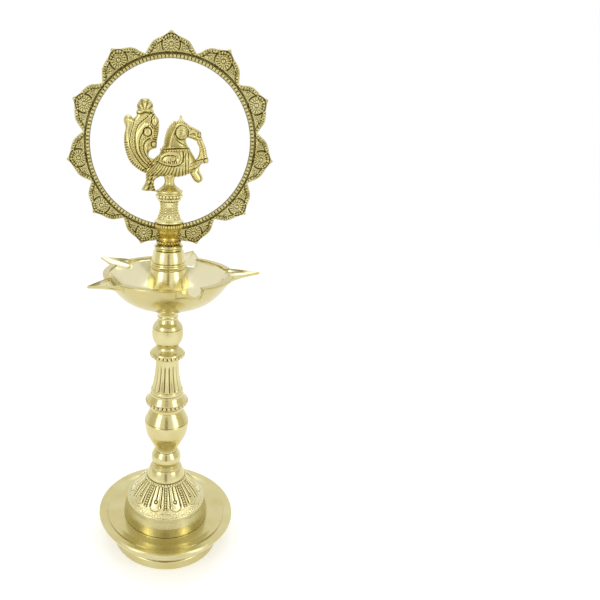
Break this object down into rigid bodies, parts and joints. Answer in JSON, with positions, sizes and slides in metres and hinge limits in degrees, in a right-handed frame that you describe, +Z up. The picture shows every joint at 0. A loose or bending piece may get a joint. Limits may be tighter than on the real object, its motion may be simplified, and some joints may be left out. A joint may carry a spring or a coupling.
{
  "type": "standing oil lamp",
  "caption": "Tall turned brass oil lamp on a round footed base, with a spouted oil bowl, a lobed ring above it and a bird finial inside the ring.",
  "frame": {"origin": "centre of the circle on which the foot stands, on the lamp's turned axis", "axes": "+Z up the turned axis, +X the way the bird faces, the ring lies in the XZ plane and faces -Y and +Y"},
  "size_m": [0.164, 0.1474, 0.457],
  "materials": {
    "polished_brass": "turned and polished pale yellow brass",
    "engraved_brass": "polished brass, hand engraved, darker in the cuts",
    "antique_brass": "cast brass with olive brown patina in the recesses",
    "steel": "plain steel, hidden under the base"
  },
  "bodies": {
    "base": {"foot_ring": "polished_brass", "base_pan": "polished_brass", "base_bell": "engraved_brass", "bell_collar": "polished_brass", "tie_rod": "steel", "tie_washer": "steel", "tie_nut": "steel"},
    "lower_stem": {"stem_ball": "polished_brass", "stem_vase": "polished_brass"},
    "column": {"lower_bead_collar": "polished_brass", "fluted_column": "polished_brass", "upper_bead_collar": "polished_brass"},
    "bowl_support": {"bowl_knob": "polished_brass"},
    "bowl": {"oil_bowl": "polished_brass"},
    "upper_stem": {"bowl_skirt": "polished_brass", "banded_knob": "polished_brass"},
    "ring_seat": {"neck_flange": "polished_brass"},
    "ring": {"halo_ring": "antique_brass"},
    "finial": {"finial_vase": "antique_brass", "peacock": "antique_brass"}
  },
  "joints": [
    {"name": "lower_stem_lift", "type": "slide", "parent": "base", "child": "lower_stem", "axis": [0, 0, 1], "range_m": [0, 0.02]},
    {"name": "column_lift", "type": "slide", "parent": "lower_stem", "child": "column", "axis": [0, 0, 1], "range_m": [0, 0.036]},
    {"name": "bowl_support_lift", "type": "slide", "parent": "column", "child": "bowl_support", "axis": [0, 0, 1], "range_m": [0, 0.03]},
    {"name": "bowl_lift", "type": "slide", "parent": "bowl_support", "child": "bowl", "axis": [0, 0, 1], "range_m": [0, 0.022]},
    {"name": "upper_stem_lift", "type": "slide", "parent": "bowl", "child": "upper_stem", "axis": [0, 0, 1], "range_m": [0, 0.04]},
    {"name": "ring_seat_lift", "type": "slide", "parent": "upper_stem", "child": "ring_seat", "axis": [0, 0, 1], "range_m": [0, 0.04]},
    {"name": "ring_turn", "type": "hinge", "parent": "ring_seat", "child": "ring", "pos_m": [0, 0, 0.2948], "axis": [0, 0, 1], "continuous": true},
    {"name": "finial_lift", "type": "slide", "parent": "ring", "child": "finial", "axis": [0, 0, 1], "range_m": [0, 0.024]}
  ]
}
